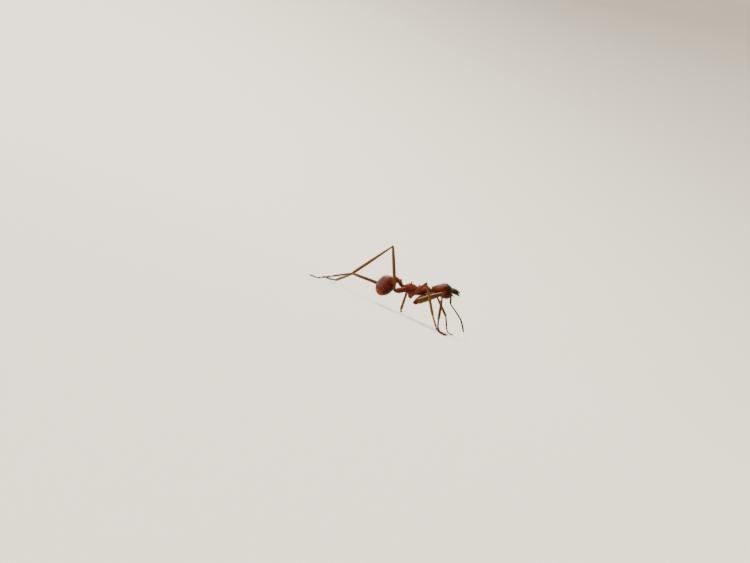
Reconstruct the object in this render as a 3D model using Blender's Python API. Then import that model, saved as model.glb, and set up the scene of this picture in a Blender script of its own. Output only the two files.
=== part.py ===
"""Leafcutter ant (Atta, a large forager), life size, standing still on its six feet.

Sizes and places are in millimetres and become metres as each mesh is made.
+X is the way the ant walks, +Y its left side and +Z up, with the floor at z = 0.
The body is modelled whole and parted by thin cuts, one node for each part that a person would name.
"""

import math

import bmesh
import bpy
from mathutils import Matrix, Vector

MM = 0.001
GAP = 0.04  # the thin cut between two neighbouring parts
BODY_STEPS = 2  # rings from one station of a body to the next
HALF_ROUND = math.sqrt(0.5)  # where a round end's one ring lies, as a share of its radius

# Head, in its own frame: x towards the mandibles, z towards the top of the head
HEAD_CENTRE = (2.20, 0.0, 4.635)
HEAD_PITCH = 15.0
HEAD_LENGTH = 2.70
HEAD_WIDTH = 2.70
HEAD_DEPTH = 1.82
NOTCH_DEPTH = 0.42  # the heart-shaped hollow at the back of the head
NOTCH_SPREAD = 0.42
NOTCH_REACH = 0.55  # how far forward the hollow runs, as a share of the head's length
HEAD_SIDES = 22
EYE_PLACE = (0.80, 0.91, 0.14)
EYE_RADII = (0.20, 0.16, 0.22)
EYE_SIDES = 16
EYE_RINGS = 10

# Trunk and waist
MESOSOMA_SIDES = 20
PETIOLE_SIDES = 14
POSTPETIOLE_CENTRE = (-3.34, 0.0, 3.46)
POSTPETIOLE_PITCH = 30.0
POSTPETIOLE_SIZE = (0.92, 1.00, 0.90)  # length, width, height
POSTPETIOLE_SIDES = 16
GASTER_CENTRE = (-4.10, 0.0, 2.36)
GASTER_PITCH = 84.0
GASTER_SIZE = (2.70, 2.28, 2.12)
GASTER_TIP_LIFT = 0.16  # the tip is nearer the gaster's back than its belly
GASTER_SIDES = 22

# Limbs: no solid here is thinner than LIMB_RADIUS each way from its middle line
LIMB_RADIUS = 0.25
LIMB_SIDES = 10
LIMB_STEPS = {"scape": 3, "funiculus": 2, "coxa": 2, "trochanter": 1, "femur": 4, "tibia": 3, "tarsus": 4}
COXA_RADII = {"fore": 0.31, "mid": 0.31, "hind": 0.37}  # at the trunk; each thins to LIMB_RADIUS at the hip
COXA_TAPER = 2  # over 1, so a coxa keeps its thickness over its first half
TROCHANTER_LENGTH = 0.36
FEMUR_SKEW = 0.6  # under 1, so a femur is thickest in its first half
SOLE_HEIGHT = 0.20  # the middle line of a foot above the floor; what is lower is cut flat

# (share along, share of half width, share of half depth, lift in mm), back to front
HEAD_STATIONS = (
    (0.00, 0.00, 0.00, -0.15),
    (0.02, 0.42, 0.30, -0.15),
    (0.12, 0.82, 0.51, -0.14),
    (0.30, 1.00, 0.72, -0.13),
    (0.46, 0.98, 0.86, -0.09),
    (0.58, 0.92, 0.96, -0.06),
    (0.70, 0.83, 1.00, -0.10),
    (0.80, 0.74, 0.93, -0.14),
    (0.88, 0.65, 0.80, -0.15),
    (0.95, 0.52, 0.58, -0.12),
    (0.99, 0.32, 0.30, -0.08),
    (1.00, 0.00, 0.00, -0.10),
)
# (x, z, half width, half depth), back to front: propodeum, groove, mesonotum, pronotum, neck
MESOSOMA_STATIONS = (
    (-2.24, 3.04, 0.00, 0.00),
    (-2.20, 3.05, 0.24, 0.22),
    (-2.00, 3.08, 0.41, 0.41),
    (-1.55, 3.17, 0.50, 0.61),
    (-1.05, 3.25, 0.50, 0.67),
    (-0.62, 3.29, 0.48, 0.58),
    (-0.18, 3.51, 0.61, 0.66),
    (0.32, 3.74, 0.76, 0.63),
    (0.72, 3.90, 0.62, 0.47),
    (0.98, 3.97, 0.36, 0.29),
    (1.40, 4.14, 0.26, 0.22),
    (1.44, 4.15, 0.00, 0.00),
)
PETIOLE_STATIONS = (
    (-1.98, 3.04, 0.00, 0.00),
    (-2.02, 3.06, 0.22, 0.20),
    (-2.38, 3.24, 0.25, 0.25),
    (-2.66, 3.46, 0.34, 0.37),
    (-2.94, 3.54, 0.29, 0.28),
    (-3.24, 3.57, 0.24, 0.22),
    (-3.27, 3.57, 0.00, 0.00),
)
# (share along, share of half width, share of half depth), tip to front
EGG_STATIONS = (
    (0.00, 0.00),
    (0.015, 0.22),
    (0.10, 0.56),
    (0.30, 0.90),
    (0.52, 1.00),
    (0.76, 0.87),
    (0.93, 0.52),
    (0.99, 0.22),
    (1.00, 0.00),
)
# Spines as (foot, tip); y is mirrored to the other side
MESOSOMA_SPINES = (
    ((0.20, 0.46, 4.16), (0.22, 0.60, 4.72)),
    ((-0.36, 0.32, 3.82), (-0.42, 0.40, 4.24)),
    ((-1.36, 0.26, 3.60), (-1.46, 0.40, 4.22)),
)
OCCIPITAL_SPINE = ((-0.86, 0.62, 0.10), (-1.26, 0.76, 0.28))
SPINE_RADIUS = 0.16
SPINE_TAPER = 0.38  # the tip's thickness as a share of the foot's
SPINE_SIDES = 8
SPINE_STEPS = 3

# One row for each leg: coxa, hip, knee, ankle, bend of the foot, toe, and the femur's half thickness
LEGS = {
    "fore_right": (
        (0.72, -0.34, 3.36), (-0.14, -0.86, 1.96), (2.38, -2.00, 4.28),
        (3.14, -2.50, 1.27), (3.52, -2.78, SOLE_HEIGHT), (4.60, -3.25, SOLE_HEIGHT), 0.39,
    ),
    "fore_left": (
        (0.72, 0.34, 3.36), (0.02, 0.90, 2.28), (1.75, 3.60, 4.08),
        (4.24, 4.30, 1.90), (5.25, 4.68, SOLE_HEIGHT), (5.90, 4.95, SOLE_HEIGHT), 0.35,
    ),
    "mid_right": (
        (-0.86, -0.34, 2.92), (-0.88, -0.84, 2.26), (0.06, -3.60, 4.64),
        (2.16, -5.10, 1.52), (3.33, -5.95, SOLE_HEIGHT), (4.22, -6.50, SOLE_HEIGHT), 0.28,
    ),
    "mid_left": (
        (-0.86, 0.34, 2.92), (-0.98, 0.84, 2.30), (-1.45, 3.90, 3.77),
        (-1.08, 5.60, 0.34), (-0.95, 6.90, SOLE_HEIGHT), (-0.80, 8.40, SOLE_HEIGHT), 0.28,
    ),
    "hind_right": (
        (-1.76, -0.36, 2.90), (-2.85, -0.84, 2.25), (-5.21, -3.40, 6.95),
        (-8.20, -4.30, 2.20), (-11.60, -4.92, SOLE_HEIGHT), (-12.45, -5.07, SOLE_HEIGHT), 0.28,
    ),
    "hind_left": (
        (-1.76, 0.36, 2.90), (-2.60, 0.94, 2.36), (-8.28, 3.00, 2.04),
        (-10.05, 7.20, 0.34), (-11.05, 9.00, SOLE_HEIGHT), (-11.75, 10.40, SOLE_HEIGHT), 0.28,
    ),
}
# Antennae: the scape from the face to its elbow, then the funiculus to its tip
ANTENNAE = {
    "right": (
        ((2.78, -0.36, 5.28), (2.98, -0.96, 5.42), (3.26, -1.38, 4.78), (3.73, -1.60, 3.52)),
        ((4.90, -1.80, 2.80), (5.59, -1.90, 2.33), (6.14, -1.90, 1.61), (6.42, -1.90, 1.16)),
    ),
    "left": (
        ((2.78, 0.36, 5.28), (3.10, 0.98, 5.44), (3.44, 1.38, 4.80), (3.97, 1.60, 3.49)),
        ((5.20, 1.80, 2.75), (5.94, 1.90, 2.27), (6.50, 1.90, 1.52), (6.79, 1.90, 1.06)),
    ),
}
MANDIBLE_SIDES = 14
MANDIBLE_STEPS = 3
MANDIBLE_TIP = 0.08
MANDIBLE_SKEW = 0.19  # how far the left tip lies above the pair's middle and the right one below it
# Mandible: middle line as (x, y, z) on the left side, with half thickness and half height
MANDIBLE = (
    ((2.86, 0.58, 4.74), 0.27, 0.28),
    ((3.42, 0.60, 4.88), 0.34, 0.32),
    ((3.92, 0.47, 5.00), 0.30, 0.31),
    ((4.38, 0.27, 5.04), 0.19, 0.24),
)

COLOURS = {
    "head": ((0.19, 0.045, 0.025), 0.38),
    "eye": ((0.012, 0.010, 0.010), 0.20),
    "mandible": ((0.030, 0.014, 0.006), 0.30),
    "antenna": ((0.10, 0.045, 0.015), 0.45),
    "mesosoma": ((0.15, 0.025, 0.016), 0.42),
    "waist": ((0.17, 0.040, 0.014), 0.42),
    "gaster": ((0.085, 0.010, 0.012), 0.34),
    "leg": ((0.20, 0.065, 0.022), 0.42),
}


def clear_scene():
    for old in list(bpy.data.objects):
        bpy.data.objects.remove(old, do_unlink=True)


def material_named(name):
    found = bpy.data.materials.get(name)
    if found:
        return found
    colour, roughness = COLOURS[name]
    made = bpy.data.materials.new(name)
    made.use_nodes = True
    shader = made.node_tree.nodes["Principled BSDF"]
    shader.inputs["Base Color"].default_value = (*colour, 1.0)
    shader.inputs["Roughness"].default_value = roughness
    shader.inputs["Metallic"].default_value = 0.0
    return made


def mirrored(point, side):
    return (point[0], point[1] * side, point[2])


def object_from(bm, name, material):
    bmesh.ops.recalc_face_normals(bm, faces=bm.faces)
    mesh = bpy.data.meshes.new(name)
    bm.to_mesh(mesh)
    bm.free()
    mesh.shade_smooth()
    made = bpy.data.objects.new(name, mesh)
    made.data.materials.append(material_named(material))
    bpy.context.scene.collection.objects.link(made)
    return made


def turns_of(sides):
    return [2 * math.pi * i / sides for i in range(sides)]


def closed_loft(rings, first_tip, last_tip):
    """A closed skin over rings of equal count, drawn to a point at each end, in metres."""
    bm = bmesh.new()
    loops = [[bm.verts.new(Vector(p) * MM) for p in ring] for ring in rings]
    ends = [bm.verts.new(Vector(p) * MM) for p in (first_tip, last_tip)]
    sides = len(loops[0])
    for near, far in zip(loops, loops[1:]):
        for i in range(sides):
            j = (i + 1) % sides
            bm.faces.new((near[i], near[j], far[j], far[i]))
    for tip, loop in zip(ends, (loops[0], loops[-1])):
        for i in range(sides):
            bm.faces.new((tip, loop[i], loop[(i + 1) % sides]))
    return bm


def smooth_rows(rows, steps):
    """The rows of a table with steps between each two, along a Catmull-Rom curve."""
    padded = [rows[0], *rows, rows[-1]]
    found = []
    for a, b, c, d in zip(padded, padded[1:], padded[2:], padded[3:]):
        for k in range(steps):
            t = k / steps
            found.append(tuple(
                0.5 * (2 * q + (r - p) * t + (2 * p - 5 * q + 4 * r - s) * t**2
                       + (3 * q - p - 3 * r + s) * t**3)
                for p, q, r, s in zip(a, b, c, d)
            ))
    found.append(rows[-1])
    return found


def body_loft(stations, sides, grow=0.0, warp=None):
    """A rounded body over (x, z, half width, half depth) stations, all sides moved out by grow."""
    rows = smooth_rows(stations, BODY_STEPS)
    first, last = rows[0][0], rows[-1][0]
    warp = warp or (lambda p: p)

    def grown(x):
        share = (x - first) / (last - first)
        return x + math.copysign(grow, last - first) * (2 * share - 1)

    def ring(row):
        x, z, wide, deep = row
        return [
            warp((grown(x), (wide + grow) * math.cos(a), z + (deep + grow) * math.sin(a)))
            for a in turns_of(sides)
        ]

    tips = [warp((grown(x), 0.0, z)) for x, z, _, _ in (rows[0], rows[-1])]
    return closed_loft([ring(row) for row in rows[1:-1]], *tips)


def placed(bm, centre, pitch):
    """Turns a body whose nose is +X up by pitch degrees and moves it to its centre."""
    turn = Matrix.Rotation(math.radians(-pitch), 4, "Y")
    bmesh.ops.transform(bm, matrix=Matrix.Translation(Vector(centre) * MM) @ turn, verts=bm.verts)
    return bm


def egg(centre, pitch, size, sides, tip_lift=0.0, grow=0.0):
    length, width, height = size
    stations = [
        ((share - 0.5) * length, tip_lift * (1 - share) ** 2, full * width / 2, full * height / 2)
        for share, full in EGG_STATIONS
    ]
    return placed(body_loft(stations, sides, grow), centre, pitch)


def ball(centre, radii, grow=0.0):
    bm = bmesh.new()
    bmesh.ops.create_uvsphere(bm, u_segments=EYE_SIDES, v_segments=EYE_RINGS, radius=1.0)
    scale = Matrix.Diagonal((*[(r + grow) * MM for r in radii], 1.0))
    bmesh.ops.transform(bm, matrix=Matrix.Translation(Vector(centre) * MM) @ scale, verts=bm.verts)
    return bm


def spike(foot, tip, radius):
    """A rounded spine from its foot to its tip."""
    return limb_tube((foot, tip), lambda t: radius * (1 - (1 - SPINE_TAPER) * t), SPINE_STEPS, SPINE_SIDES)


def path_points(points, steps):
    """Points along a limb's middle line: a straight run for two points, a smooth curve for more."""
    rows = smooth_rows([tuple(p) for p in points], steps)
    return [Vector(row) for row in rows]


def limb_tube(points, radius_at, steps, sides=LIMB_SIDES):
    """A closed tube along the points with a round end past each end point."""
    line = path_points(points, steps)
    lengths = [0.0]
    for a, b in zip(line, line[1:]):
        lengths.append(lengths[-1] + (b - a).length)
    ways = [
        (line[min(i + 1, len(line) - 1)] - line[max(i - 1, 0)]).normalized()
        for i in range(len(line))
    ]
    rings, frames = [], []
    side = ways[0].orthogonal().normalized()
    for way in ways:
        side = (side - way * side.dot(way)).normalized()
        frames.append((side.copy(), way.cross(side)))

    def ring(centre, frame, radius):
        return [
            centre + radius * (math.cos(a) * frame[0] + math.sin(a) * frame[1])
            for a in turns_of(sides)
        ]

    first, last = radius_at(0.0) * HALF_ROUND, radius_at(1.0) * HALF_ROUND
    rings.append(ring(line[0] - ways[0] * first, frames[0], first))
    for centre, frame, run in zip(line, frames, lengths):
        rings.append(ring(centre, frame, radius_at(run / lengths[-1])))
    rings.append(ring(line[-1] + ways[-1] * last, frames[-1], last))
    tips = (line[0] - ways[0] * radius_at(0.0), line[-1] + ways[-1] * radius_at(1.0))
    return closed_loft(rings, *tips)


def cut_off(bm, point, way):
    """Cuts away all that lies beyond the plane through point facing way, half a gap short of it."""
    way = Vector(way).normalized()
    bmesh.ops.bisect_plane(
        bm, geom=bm.verts[:] + bm.edges[:] + bm.faces[:], dist=1e-8,
        plane_co=(Vector(point) - way * GAP / 2) * MM, plane_no=way, clear_outer=True,
    )
    rim = [edge for edge in bm.edges if edge.is_boundary]
    bmesh.ops.edgeloop_fill(bm, edges=rim)


def bisector(before, joint, after):
    """The facing of the plane that shares a bend equally between two limb segments."""
    a = (Vector(joint) - Vector(before)).normalized()
    b = (Vector(after) - Vector(joint)).normalized()
    return (a + b).normalized()


def combine(obj, bm, operation):
    """Joins or cuts a helper shape into an object and throws the helper away."""
    helper = object_from(bm, "helper", "leg")
    step = obj.modifiers.new(operation.lower(), "BOOLEAN")
    step.operation = operation
    step.solver = "EXACT"
    step.object = helper
    graph = bpy.context.evaluated_depsgraph_get()
    shaped = bpy.data.meshes.new_from_object(obj.evaluated_get(graph))
    obj.modifiers.remove(step)
    old = obj.data
    obj.data = shaped
    bpy.data.meshes.remove(old)
    bpy.data.objects.remove(helper, do_unlink=True)


def notched(point):
    """Presses the middle of the head's back forward, which leaves a lobe on each side."""
    x, y, z = point
    back = max(0.0, 1 - (x / HEAD_LENGTH + 0.5) / NOTCH_REACH)
    return (x + NOTCH_DEPTH * back**2 * math.exp(-(y / NOTCH_SPREAD) ** 2), y, z)


def head_skin(grow=0.0):
    stations = [
        ((share - 0.5) * HEAD_LENGTH, lift, wide * HEAD_WIDTH / 2, deep * HEAD_DEPTH / 2)
        for share, wide, deep, lift in HEAD_STATIONS
    ]
    return placed(body_loft(stations, HEAD_SIDES, grow, notched), HEAD_CENTRE, HEAD_PITCH)


def eye_ball(side, grow=0.0):
    return placed(ball(mirrored(EYE_PLACE, side), EYE_RADII, grow), HEAD_CENTRE, HEAD_PITCH)


def mesosoma_skin(grow=0.0):
    return body_loft(MESOSOMA_STATIONS, MESOSOMA_SIDES, grow)


def make_head():
    head = object_from(head_skin(), "head", "head")
    for side in (1, -1):
        foot, tip = (mirrored(p, side) for p in OCCIPITAL_SPINE)
        combine(head, placed(spike(foot, tip, SPINE_RADIUS), HEAD_CENTRE, HEAD_PITCH), "UNION")
        combine(head, eye_ball(side, GAP), "DIFFERENCE")
        name = "eye_left" if side > 0 else "eye_right"
        object_from(eye_ball(side), name, "eye")


def make_mandible(side, name):
    last = len(MANDIBLE) - 1
    table = [
        (p[0], p[1] * side, p[2] + MANDIBLE_SKEW * side * i / last, thick, tall)
        for i, (p, thick, tall) in enumerate(MANDIBLE)
    ]
    rows = smooth_rows(table, MANDIBLE_STEPS)
    rings = []
    for before, row, after in zip([rows[0], *rows], rows, [*rows[1:], rows[-1]]):
        way = (Vector(after[:3]) - Vector(before[:3])).normalized()
        across = Vector((0, 0, 1)).cross(way).normalized()
        upward = way.cross(across)
        rings.append([
            Vector(row[:3]) + row[3] * math.cos(a) * across + row[4] * math.sin(a) * upward
            for a in turns_of(MANDIBLE_SIDES)
        ])
    tip = Vector(rows[-1][:3])
    tip += (tip - Vector(rows[-2][:3])).normalized() * MANDIBLE_TIP
    skin = closed_loft(rings, rows[0][:3], tip)
    mandible = object_from(skin, name, "mandible")
    combine(mandible, head_skin(GAP), "DIFFERENCE")


def make_antenna(side, name):
    scape_points, funiculus_points = ANTENNAE[name]
    elbow = scape_points[-1]
    facing = bisector(scape_points[-2], elbow, funiculus_points[0])
    skin = limb_tube(scape_points, lambda t: LIMB_RADIUS, LIMB_STEPS["scape"])
    cut_off(skin, elbow, facing)
    scape = object_from(skin, f"scape_{name}", "antenna")
    combine(scape, head_skin(GAP), "DIFFERENCE")
    skin = limb_tube((elbow, *funiculus_points), lambda t: LIMB_RADIUS, LIMB_STEPS["funiculus"])
    cut_off(skin, elbow, -facing)
    object_from(skin, f"funiculus_{name}", "antenna")


def make_trunk():
    mesosoma = object_from(mesosoma_skin(), "mesosoma", "mesosoma")
    for foot, tip in MESOSOMA_SPINES:
        for side in (1, -1):
            combine(mesosoma, spike(mirrored(foot, side), mirrored(tip, side), SPINE_RADIUS), "UNION")
    combine(mesosoma, head_skin(GAP), "DIFFERENCE")


def make_waist_and_gaster():
    petiole = object_from(body_loft(PETIOLE_STATIONS, PETIOLE_SIDES), "petiole", "waist")
    combine(petiole, mesosoma_skin(GAP), "DIFFERENCE")
    postpetiole_shape = (POSTPETIOLE_CENTRE, POSTPETIOLE_PITCH, POSTPETIOLE_SIZE, POSTPETIOLE_SIDES, 0.0)
    gaster_shape = (GASTER_CENTRE, GASTER_PITCH, GASTER_SIZE, GASTER_SIDES, GASTER_TIP_LIFT)
    postpetiole = object_from(egg(*postpetiole_shape), "postpetiole", "waist")
    combine(postpetiole, egg(*gaster_shape, GAP), "DIFFERENCE")
    combine(petiole, egg(*postpetiole_shape, GAP), "DIFFERENCE")
    object_from(egg(*gaster_shape), "gaster", "gaster")


def make_leg(name):
    coxa, hip, knee, ankle, bend, toe, femur_radius = LEGS[name]
    thigh = (Vector(knee) - Vector(hip)).normalized()
    start = Vector(hip) + thigh * TROCHANTER_LENGTH
    joints = [coxa, hip, start, knee, ankle]
    facings = [bisector(a, b, c) for a, b, c in zip(joints, joints[1:], [*joints[2:], bend])]

    coxa_radius = COXA_RADII[name.split("_")[0]]
    skin = limb_tube(
        (coxa, hip), lambda t: coxa_radius - (coxa_radius - LIMB_RADIUS) * t**COXA_TAPER, LIMB_STEPS["coxa"]
    )
    cut_off(skin, hip, facings[0])
    first_piece = object_from(skin, f"coxa_{name}", "leg")
    combine(first_piece, mesosoma_skin(GAP), "DIFFERENCE")

    skin = limb_tube((hip, start), lambda t: LIMB_RADIUS, LIMB_STEPS["trochanter"])
    cut_off(skin, hip, -facings[0])
    cut_off(skin, start, facings[1])
    object_from(skin, f"trochanter_{name}", "leg")

    swell = femur_radius - LIMB_RADIUS
    skin = limb_tube(
        (start, knee), lambda t: LIMB_RADIUS + swell * math.sin(math.pi * t**FEMUR_SKEW), LIMB_STEPS["femur"]
    )
    cut_off(skin, start, -facings[1])
    cut_off(skin, knee, facings[2])
    object_from(skin, f"femur_{name}", "leg")

    skin = limb_tube((knee, ankle), lambda t: LIMB_RADIUS, LIMB_STEPS["tibia"])
    cut_off(skin, knee, -facings[2])
    cut_off(skin, ankle, facings[3])
    object_from(skin, f"tibia_{name}", "leg")

    skin = limb_tube((ankle, bend, toe), lambda t: LIMB_RADIUS, LIMB_STEPS["tarsus"])
    cut_off(skin, ankle, -facings[3])
    cut_off(skin, (0, 0, -GAP / 2), (0, 0, -1))
    object_from(skin, f"tarsus_{name}", "leg")


def set_down():
    """Moves the whole ant so that the middle of its footprint is the origin."""
    points = [
        obj.matrix_world @ v.co for obj in bpy.context.scene.objects for v in obj.data.vertices
    ]
    low = [min(p[i] for p in points) for i in range(3)]
    high = [max(p[i] for p in points) for i in range(3)]
    shift = Vector((-(low[0] + high[0]) / 2, -(low[1] + high[1]) / 2, -low[2]))
    for obj in bpy.context.scene.objects:
        obj.data.transform(Matrix.Translation(shift))


clear_scene()
make_head()
for sign, name_of_side in ((1, "left"), (-1, "right")):
    make_mandible(sign, f"mandible_{name_of_side}")
    make_antenna(sign, name_of_side)
make_trunk()
make_waist_and_gaster()
for leg_name in LEGS:
    make_leg(leg_name)
set_down()
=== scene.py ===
"""Leafcutter ant: the finish of every part of the body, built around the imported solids.

Sizes are in millimetres in the ant's own frame: +X the way it walks, +Y its left, +Z up, floor at z = 0.
Each closed skin is a grid of rings that is shaped by simple rules and takes the place of its solid.
"""

import math

import bpy
import numpy as np
from mathutils import Matrix, Vector


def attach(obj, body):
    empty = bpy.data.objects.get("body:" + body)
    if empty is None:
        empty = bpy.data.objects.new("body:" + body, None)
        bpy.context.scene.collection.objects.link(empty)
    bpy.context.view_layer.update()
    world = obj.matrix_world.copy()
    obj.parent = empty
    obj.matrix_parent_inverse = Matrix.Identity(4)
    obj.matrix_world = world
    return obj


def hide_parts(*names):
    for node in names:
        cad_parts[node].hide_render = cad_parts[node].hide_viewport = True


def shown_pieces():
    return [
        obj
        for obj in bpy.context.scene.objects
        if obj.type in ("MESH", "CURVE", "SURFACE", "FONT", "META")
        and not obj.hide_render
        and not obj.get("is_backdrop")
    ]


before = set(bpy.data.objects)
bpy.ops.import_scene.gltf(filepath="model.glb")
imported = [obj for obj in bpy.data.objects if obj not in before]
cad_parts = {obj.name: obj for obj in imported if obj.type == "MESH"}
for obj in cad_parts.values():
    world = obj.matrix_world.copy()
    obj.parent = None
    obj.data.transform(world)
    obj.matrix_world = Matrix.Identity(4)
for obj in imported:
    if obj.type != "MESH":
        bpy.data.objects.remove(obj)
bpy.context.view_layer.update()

# ---------------- Thorax
# The trunk of the body: a hard box of fused plates of satin red-brown cuticle, with the seams between them
# left as grooves, and three pairs of sharp spines along the back. The legs and the waist are jointed into it.

MM = 0.001
ANT_TO_PART = np.array((2.8293, -1.9481, 0.0))  # puts the middle of the footprint at the origin
BOTH_SIDES = (("left", 1), ("right", -1))
BEND_STEPS = 8
CROWDING = 0.9  # how much closer together a limb's rings lie at its two ends
BEAN_STATIONS = 7


def linear(r, g, b):
    """A colour given in everyday 0 to 255 steps, as light."""
    return tuple(
        c / 12.92 if c <= 0.04045 else ((c + 0.055) / 1.055) ** 2.4 for c in (r / 255, g / 255, b / 255)
    )


def through(table, at):
    """A table's later columns at places in its first column, on smooth curves that never overshoot."""
    table = np.array(sorted(table), float)
    x, y = table[:, 0], table[:, 1:]
    step = np.diff(x)[:, None]
    rise = np.diff(y, axis=0) / step
    near, far = 2 * step[1:] + step[:-1], step[1:] + 2 * step[:-1]
    slope = np.zeros_like(y)
    same_way = rise[:-1] * rise[1:] > 0
    safe = np.where(rise == 0, 1.0, rise)
    slope[1:-1] = np.where(same_way, (near + far) / (near / safe[:-1] + far / safe[1:]), 0.0)
    slope[0], slope[-1] = rise[0], rise[-1]
    at = np.clip(at, x[0], x[-1])
    k = np.clip(np.searchsorted(x, at, side="right") - 1, 0, len(x) - 2)
    t, h = ((at - x[k]) / step[k, 0])[:, None], step[k]
    return (
        y[k] * (1 + 2 * t) * (1 - t) ** 2 + slope[k] * h * t * (1 - t) ** 2
        + y[k + 1] * t**2 * (3 - 2 * t) + slope[k + 1] * h * t**2 * (t - 1)
    )


def eased(steps):
    """Shares from 0 to 1 that lie closest together at both ends."""
    return (1 - np.cos(np.linspace(0, math.pi, steps + 1))) / 2


def circle(around):
    """The angle of each point of a ring."""
    return np.linspace(0, 2 * math.pi, around, endpoint=False)


def body_rings(stations, around, along):
    """A grid of rings over (x, z, half width, half depth) stations, rounded at both ends."""
    rows = [(x, z, wide**2, deep**2) for x, z, wide, deep in stations]
    low, high = min(rows)[0], max(rows)[0]
    x = low + (high - low) * eased(along)
    z, wide, deep = through(rows, x).T[:, :, None]
    turn = circle(around)[None]
    wide, deep = np.sqrt(np.maximum(wide, 0)), np.sqrt(np.maximum(deep, 0))
    return np.stack([x[:, None] + 0 * turn, wide * np.cos(turn), z + deep * np.sin(turn)], -1)


def outward(grid):
    """The way each point of a grid of rings faces."""
    across = np.roll(grid, -1, 1) - np.roll(grid, 1, 1)
    along = np.gradient(grid, axis=0)
    facing = np.cross(across, along)
    facing[0], facing[-1] = grid[0] - grid[1].mean(0), grid[-1] - grid[-2].mean(0)
    facing /= np.maximum(np.linalg.norm(facing, axis=-1, keepdims=True), 1e-12)
    middle = grid.mean(1, keepdims=True)
    sign = np.sign((facing[1:-1] * (grid - middle)[1:-1]).sum())
    facing[1:-1] *= sign
    return facing


def carved(grid, relief):
    """Moves a skin out along its facing by relief(points), where y counts as the distance from the middle."""
    folded = grid * (1, 0, 1) + np.abs(grid) * (0, 1, 0)
    return grid + outward(grid) * relief(folded)[..., None]


def mound(p, centre, spread, height):
    """A soft rise, or with a negative height a hollow, about a point."""
    return height * np.exp(-(((p - np.array(centre)) / spread) ** 2).sum(-1))


def ridge(p, points, width, height):
    """A ridge, or with a negative height a groove, along a line of points."""
    nearest = np.full(p.shape[:-1], np.inf)
    for a, b in zip(np.array(points), np.array(points)[1:]):
        share = np.clip((p - a) @ (b - a) / ((b - a) @ (b - a)), 0, 1)[..., None]
        nearest = np.minimum(nearest, np.linalg.norm(p - a - share * (b - a), axis=-1))
    return height * np.exp(-((nearest / width) ** 2))


def pitched(grid, centre, pitch):
    """Turns a grid whose nose is +X up by pitch degrees and moves it to its centre."""
    c, s = math.cos(math.radians(pitch)), math.sin(math.radians(pitch))
    return grid @ np.array(((c, 0, s), (0, 1, 0), (-s, 0, c))) + np.array(centre)


def unit(way):
    return way / np.linalg.norm(way)


def rounded(points, cut=0.4):
    """A line of points with each corner turned into a smooth bend."""
    points = np.array(points, float)
    line = [points[0]]
    for before, corner, after in zip(points, points[1:], points[2:]):
        reach = cut * min(np.linalg.norm(corner - before), np.linalg.norm(after - corner))
        start, end = corner + unit(before - corner) * reach, corner + unit(after - corner) * reach
        for t in np.linspace(0, 1, BEND_STEPS):
            line.append((1 - t) ** 2 * start + 2 * t * (1 - t) * corner + t**2 * end)
    return np.array([*line, points[-1]])


def places_along(line, shares):
    """The points of a line at shares of its length."""
    run = np.concatenate([[0], np.cumsum(np.linalg.norm(np.diff(line, axis=0), axis=1))])
    return np.stack([np.interp(shares * run[-1], run, line[:, i]) for i in range(3)], -1)


def limb_rings(line, thickness, around=18, along=44, flat=1.0, up=(0.0, 0.0, 1.0)):
    """A grid of rings about a middle line, from rows of (share of its length, half thickness), that closes to
    a point at both ends."""
    share = np.linspace(0, 1, along + 1)
    share -= CROWDING * np.sin(2 * math.pi * share) / (2 * math.pi)
    centre = places_along(np.array(line, float), share)
    squares = [(0, 0), *((s, r * r) for s, r in thickness), (1, 0)]
    radius = np.sqrt(np.maximum(through(squares, share), 0))
    way = np.gradient(centre, axis=0)
    way /= np.linalg.norm(way, axis=1, keepdims=True)
    side, grid = np.cross(up, way[0]), []
    if np.linalg.norm(side) < 0.05:
        side = np.cross((1.0, 0.0, 0.0), way[0])
    turn = circle(around)[:, None]
    for here, ahead, reach in zip(centre, way, radius):
        side = unit(side - ahead * (side @ ahead))
        top = np.cross(ahead, side)
        grid.append(here + reach * (flat * np.cos(turn) * side + np.sin(turn) * top))
    return np.array(grid)


def bean(centre, radii, around=20, along=14):
    """A grid for a small rounded lump, longest way along X before any turning."""
    shares = np.linspace(-1, 1, BEAN_STATIONS)
    stations = [(a * radii[0], 0.0, *(r * math.sqrt(max(0, 1 - a * a)) for r in radii[1:])) for a in shares]
    return body_rings(stations, around, along) + np.array(centre)


def linked(name, mesh):
    """A new object for a mesh, at the origin of the scene."""
    made = bpy.data.objects.new(name, mesh)
    bpy.context.scene.collection.objects.link(made)
    return made


def store(mesh, key, rows):
    """Keeps a value, or a direction, for each point of a mesh."""
    rows = np.asarray(rows, np.float32)
    kind, field = ("FLOAT", "value") if rows.ndim == 1 else ("FLOAT_VECTOR", "vector")
    mesh.attributes.new(key, kind, "POINT").data.foreach_set(field, rows.ravel())


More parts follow.
